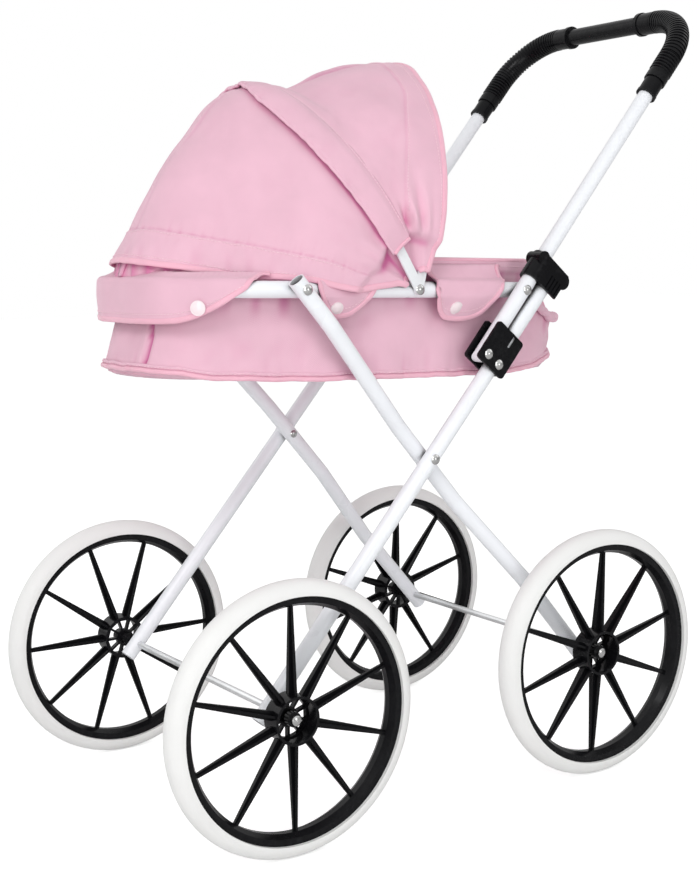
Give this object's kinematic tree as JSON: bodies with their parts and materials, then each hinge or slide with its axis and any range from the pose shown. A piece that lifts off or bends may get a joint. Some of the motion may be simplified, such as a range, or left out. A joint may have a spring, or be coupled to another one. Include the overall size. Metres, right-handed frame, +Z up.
{
  "type": "doll stroller",
  "caption": "Folding doll stroller: spoked wheels on a crossed tube frame, a soft carrycot with a fan hood, and a push handle with ribbed sleeves.",
  "frame": {"origin": "on the floor under the middle of the stroller's outline", "axes": "+Z up, +Y towards the handle and the person pushing, -Y towards the hood, +X towards the left side as seen from in front"},
  "size_m": [0.341, 0.6059, 0.7038],
  "materials": {
    "frame_paint": "smooth white powder coat",
    "steel": "bright nickel",
    "wheel_plastic": "moulded satin gloss",
    "black_plastic": "moulded satin gloss",
    "tyre": "soft matt foam",
    "fabric": "woven polyester with piping",
    "board": "fibreboard under cloth",
    "snap": "polished",
    "bow_plastic": "smooth"
  },
  "bodies": {
    "front_frame": {"leg_front_left": "frame_paint", "leg_front_right": "frame_paint", "axle_front": "steel", "axle_caps_front": "steel", "axle_spacers_front": "wheel_plastic", "cross_rivet_left": "steel", "cross_rivet_right": "steel", "fold_bracket_left": "black_plastic", "fold_bracket_right": "black_plastic", "bracket_rivets": "steel"},
    "wheel_fl": {"wheel_front_left": "wheel_plastic", "tyre_front_left": "tyre"},
    "wheel_fr": {"wheel_front_right": "wheel_plastic", "tyre_front_right": "tyre"},
    "wheel_rl": {"wheel_rear_left": "wheel_plastic", "tyre_rear_left": "tyre"},
    "wheel_rr": {"wheel_rear_right": "wheel_plastic", "tyre_rear_right": "tyre"},
    "rear_frame": {"leg_rear_left": "frame_paint", "leg_rear_right": "frame_paint", "axle_rear": "steel", "axle_caps_rear": "steel", "axle_spacers_rear": "wheel_plastic"},
    "carrycot": {"rail_left": "frame_paint", "rail_right": "frame_paint", "front_hoop": "frame_paint", "foot_wire": "steel", "base_board": "board", "cot_fabric": "fabric", "front_flap": "fabric", "side_flaps_left": "fabric", "side_flaps_right": "fabric", "flap_snaps": "snap", "rail_rivets": "steel", "hood_rivets": "steel", "hood_bow_middle": "bow_plastic", "hood_panel_front": "fabric", "hood_panel_rear": "fabric"},
    "hood_rear": {"hood_bow_rear": "bow_plastic"},
    "handle": {"handle_tube_left": "frame_paint", "handle_tube_right": "frame_paint", "handle_joiner": "steel", "collar_left": "black_plastic", "collar_right": "black_plastic", "elbow_sleeve_left": "black_plastic", "elbow_sleeve_right": "black_plastic", "sleeve_rings": "black_plastic", "grip_bar": "black_plastic", "rail_handle_rivets": "steel"},
    "clip_left": {"lock_clip_left": "black_plastic"},
    "clip_right": {"lock_clip_right": "black_plastic"}
  },
  "joints": [
    {"name": "handle_fold", "type": "hinge", "parent": "front_frame", "child": "handle", "pos_m": [0, 0.03204, 0.3875], "axis": [1, 0, 0], "range_deg": [0, 75]},
    {"name": "scissor", "type": "hinge", "parent": "front_frame", "child": "rear_frame", "pos_m": [0, -0.02469, 0.30053], "axis": [1, 0, 0], "range_deg": [0, 36]},
    {"name": "cot_tilt", "type": "hinge", "parent": "rear_frame", "child": "carrycot", "pos_m": [0, -0.14959, 0.44801], "axis": [1, 0, 0], "range_deg": [-8, 0]},
    {"name": "hood_rear_bow", "type": "hinge", "parent": "carrycot", "child": "hood_rear", "pos_m": [0, -0.03146, 0.4445], "axis": [1, 0, 0], "range_deg": [0, 38], "deforming": ["hood_panel_rear"]},
    {"name": "wheel_front_left_roll", "type": "hinge", "parent": "front_frame", "child": "wheel_fl", "pos_m": [0, -0.19046, 0.1125], "axis": [1, 0, 0], "continuous": true},
    {"name": "wheel_front_right_roll", "type": "hinge", "parent": "front_frame", "child": "wheel_fr", "pos_m": [0, -0.19046, 0.1125], "axis": [1, 0, 0], "continuous": true},
    {"name": "wheel_rear_left_roll", "type": "hinge", "parent": "rear_frame", "child": "wheel_rl", "pos_m": [0, 0.13454, 0.1125], "axis": [1, 0, 0], "continuous": true},
    {"name": "wheel_rear_right_roll", "type": "hinge", "parent": "rear_frame", "child": "wheel_rr", "pos_m": [0, 0.13454, 0.1125], "axis": [1, 0, 0], "continuous": true},
    {"name": "clip_left_slide", "type": "slide", "parent": "handle", "child": "clip_left", "axis": [0, 0.6481, 0.7615], "range_m": [0, 0.03]},
    {"name": "clip_right_slide", "type": "slide", "parent": "handle", "child": "clip_right", "axis": [0, 0.6481, 0.7615], "range_m": [0, 0.03]}
  ],
  "couplings": [
    {"joint": "scissor", "follows": "handle_fold", "ratio": 0.4654},
    {"joint": "cot_tilt", "follows": "handle_fold", "ratio": -0.0894}
  ]
}
